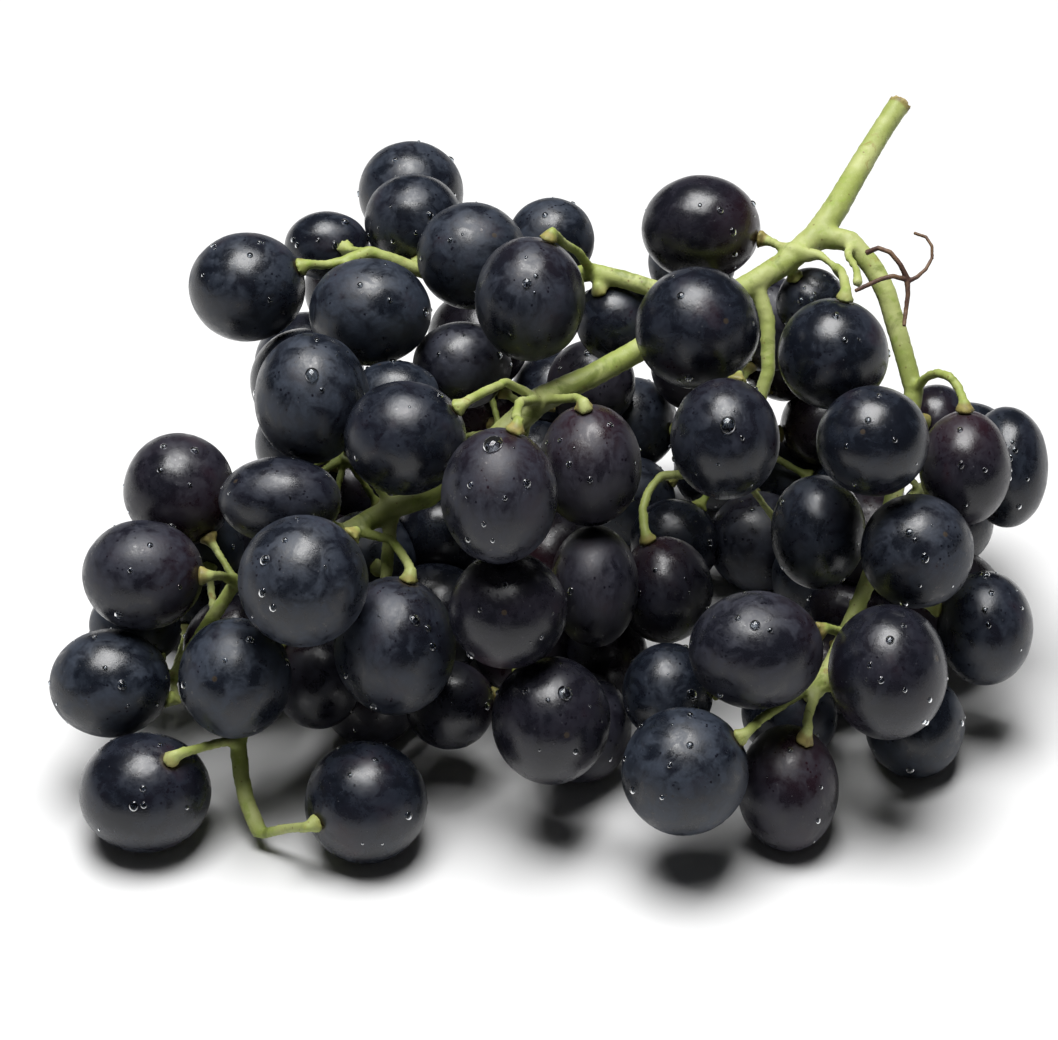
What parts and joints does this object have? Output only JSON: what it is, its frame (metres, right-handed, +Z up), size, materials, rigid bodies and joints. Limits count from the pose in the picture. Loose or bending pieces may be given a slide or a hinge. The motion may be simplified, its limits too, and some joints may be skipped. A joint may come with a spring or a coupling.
{
  "type": "bunch of grapes",
  "caption": "Bunch of dark blue-black grapes on branching green stems with a cut stalk and a curled tendril, lying at rest.",
  "frame": {"origin": "middle of the footprint, on the surface that the bunch rests on", "axes": "+Z up as it lies, +X along the bunch towards the side with the cut stalk, -Y towards the viewer of the picture"},
  "size_m": [0.1924, 0.1522, 0.095],
  "materials": {
    "berry_skin": "dark blue-black grape skin with a dusty grey bloom, half gloss where it is rubbed",
    "stem": "fresh yellow-green grape stem, brown at the nodes and the cut end",
    "tendril": "thin dried red-brown tendril"
  },
  "bodies": {
    "root": {"berry_01": "berry_skin", "berry_02": "berry_skin", "berry_03": "berry_skin", "berry_04": "berry_skin", "berry_05": "berry_skin", "berry_06": "berry_skin", "berry_07": "berry_skin", "berry_08": "berry_skin", "berry_09": "berry_skin", "berry_10": "berry_skin", "berry_11": "berry_skin", "berry_12": "berry_skin", "berry_13": "berry_skin", "berry_14": "berry_skin", "berry_15": "berry_skin", "berry_16": "berry_skin", "berry_17": "berry_skin", "berry_18": "berry_skin", "berry_19": "berry_skin", "berry_20": "berry_skin", "berry_21": "berry_skin", "berry_22": "berry_skin", "berry_23": "berry_skin", "berry_24": "berry_skin", "berry_25": "berry_skin", "berry_26": "berry_skin", "berry_27": "berry_skin", "berry_28": "berry_skin", "berry_29": "berry_skin", "berry_30": "berry_skin", "berry_31": "berry_skin", "berry_32": "berry_skin", "berry_33": "berry_skin", "berry_34": "berry_skin", "berry_35": "berry_skin", "berry_36": "berry_skin", "berry_37": "berry_skin", "berry_38": "berry_skin", "berry_39": "berry_skin", "berry_40": "berry_skin", "berry_41": "berry_skin", "berry_42": "berry_skin", "berry_43": "berry_skin", "berry_44": "berry_skin", "berry_45": "berry_skin", "berry_46": "berry_skin", "berry_47": "berry_skin", "berry_48": "berry_skin", "berry_49": "berry_skin", "berry_50": "berry_skin", "berry_51": "berry_skin", "berry_52": "berry_skin", "berry_53": "berry_skin", "cluster_back_left": "berry_skin", "cluster_back_middle": "berry_skin", "cluster_back_right": "berry_skin", "cluster_low_front": "berry_skin", "cluster_low_right": "berry_skin", "stem": "stem", "tendril": "tendril"}
  },
  "joints": []
}
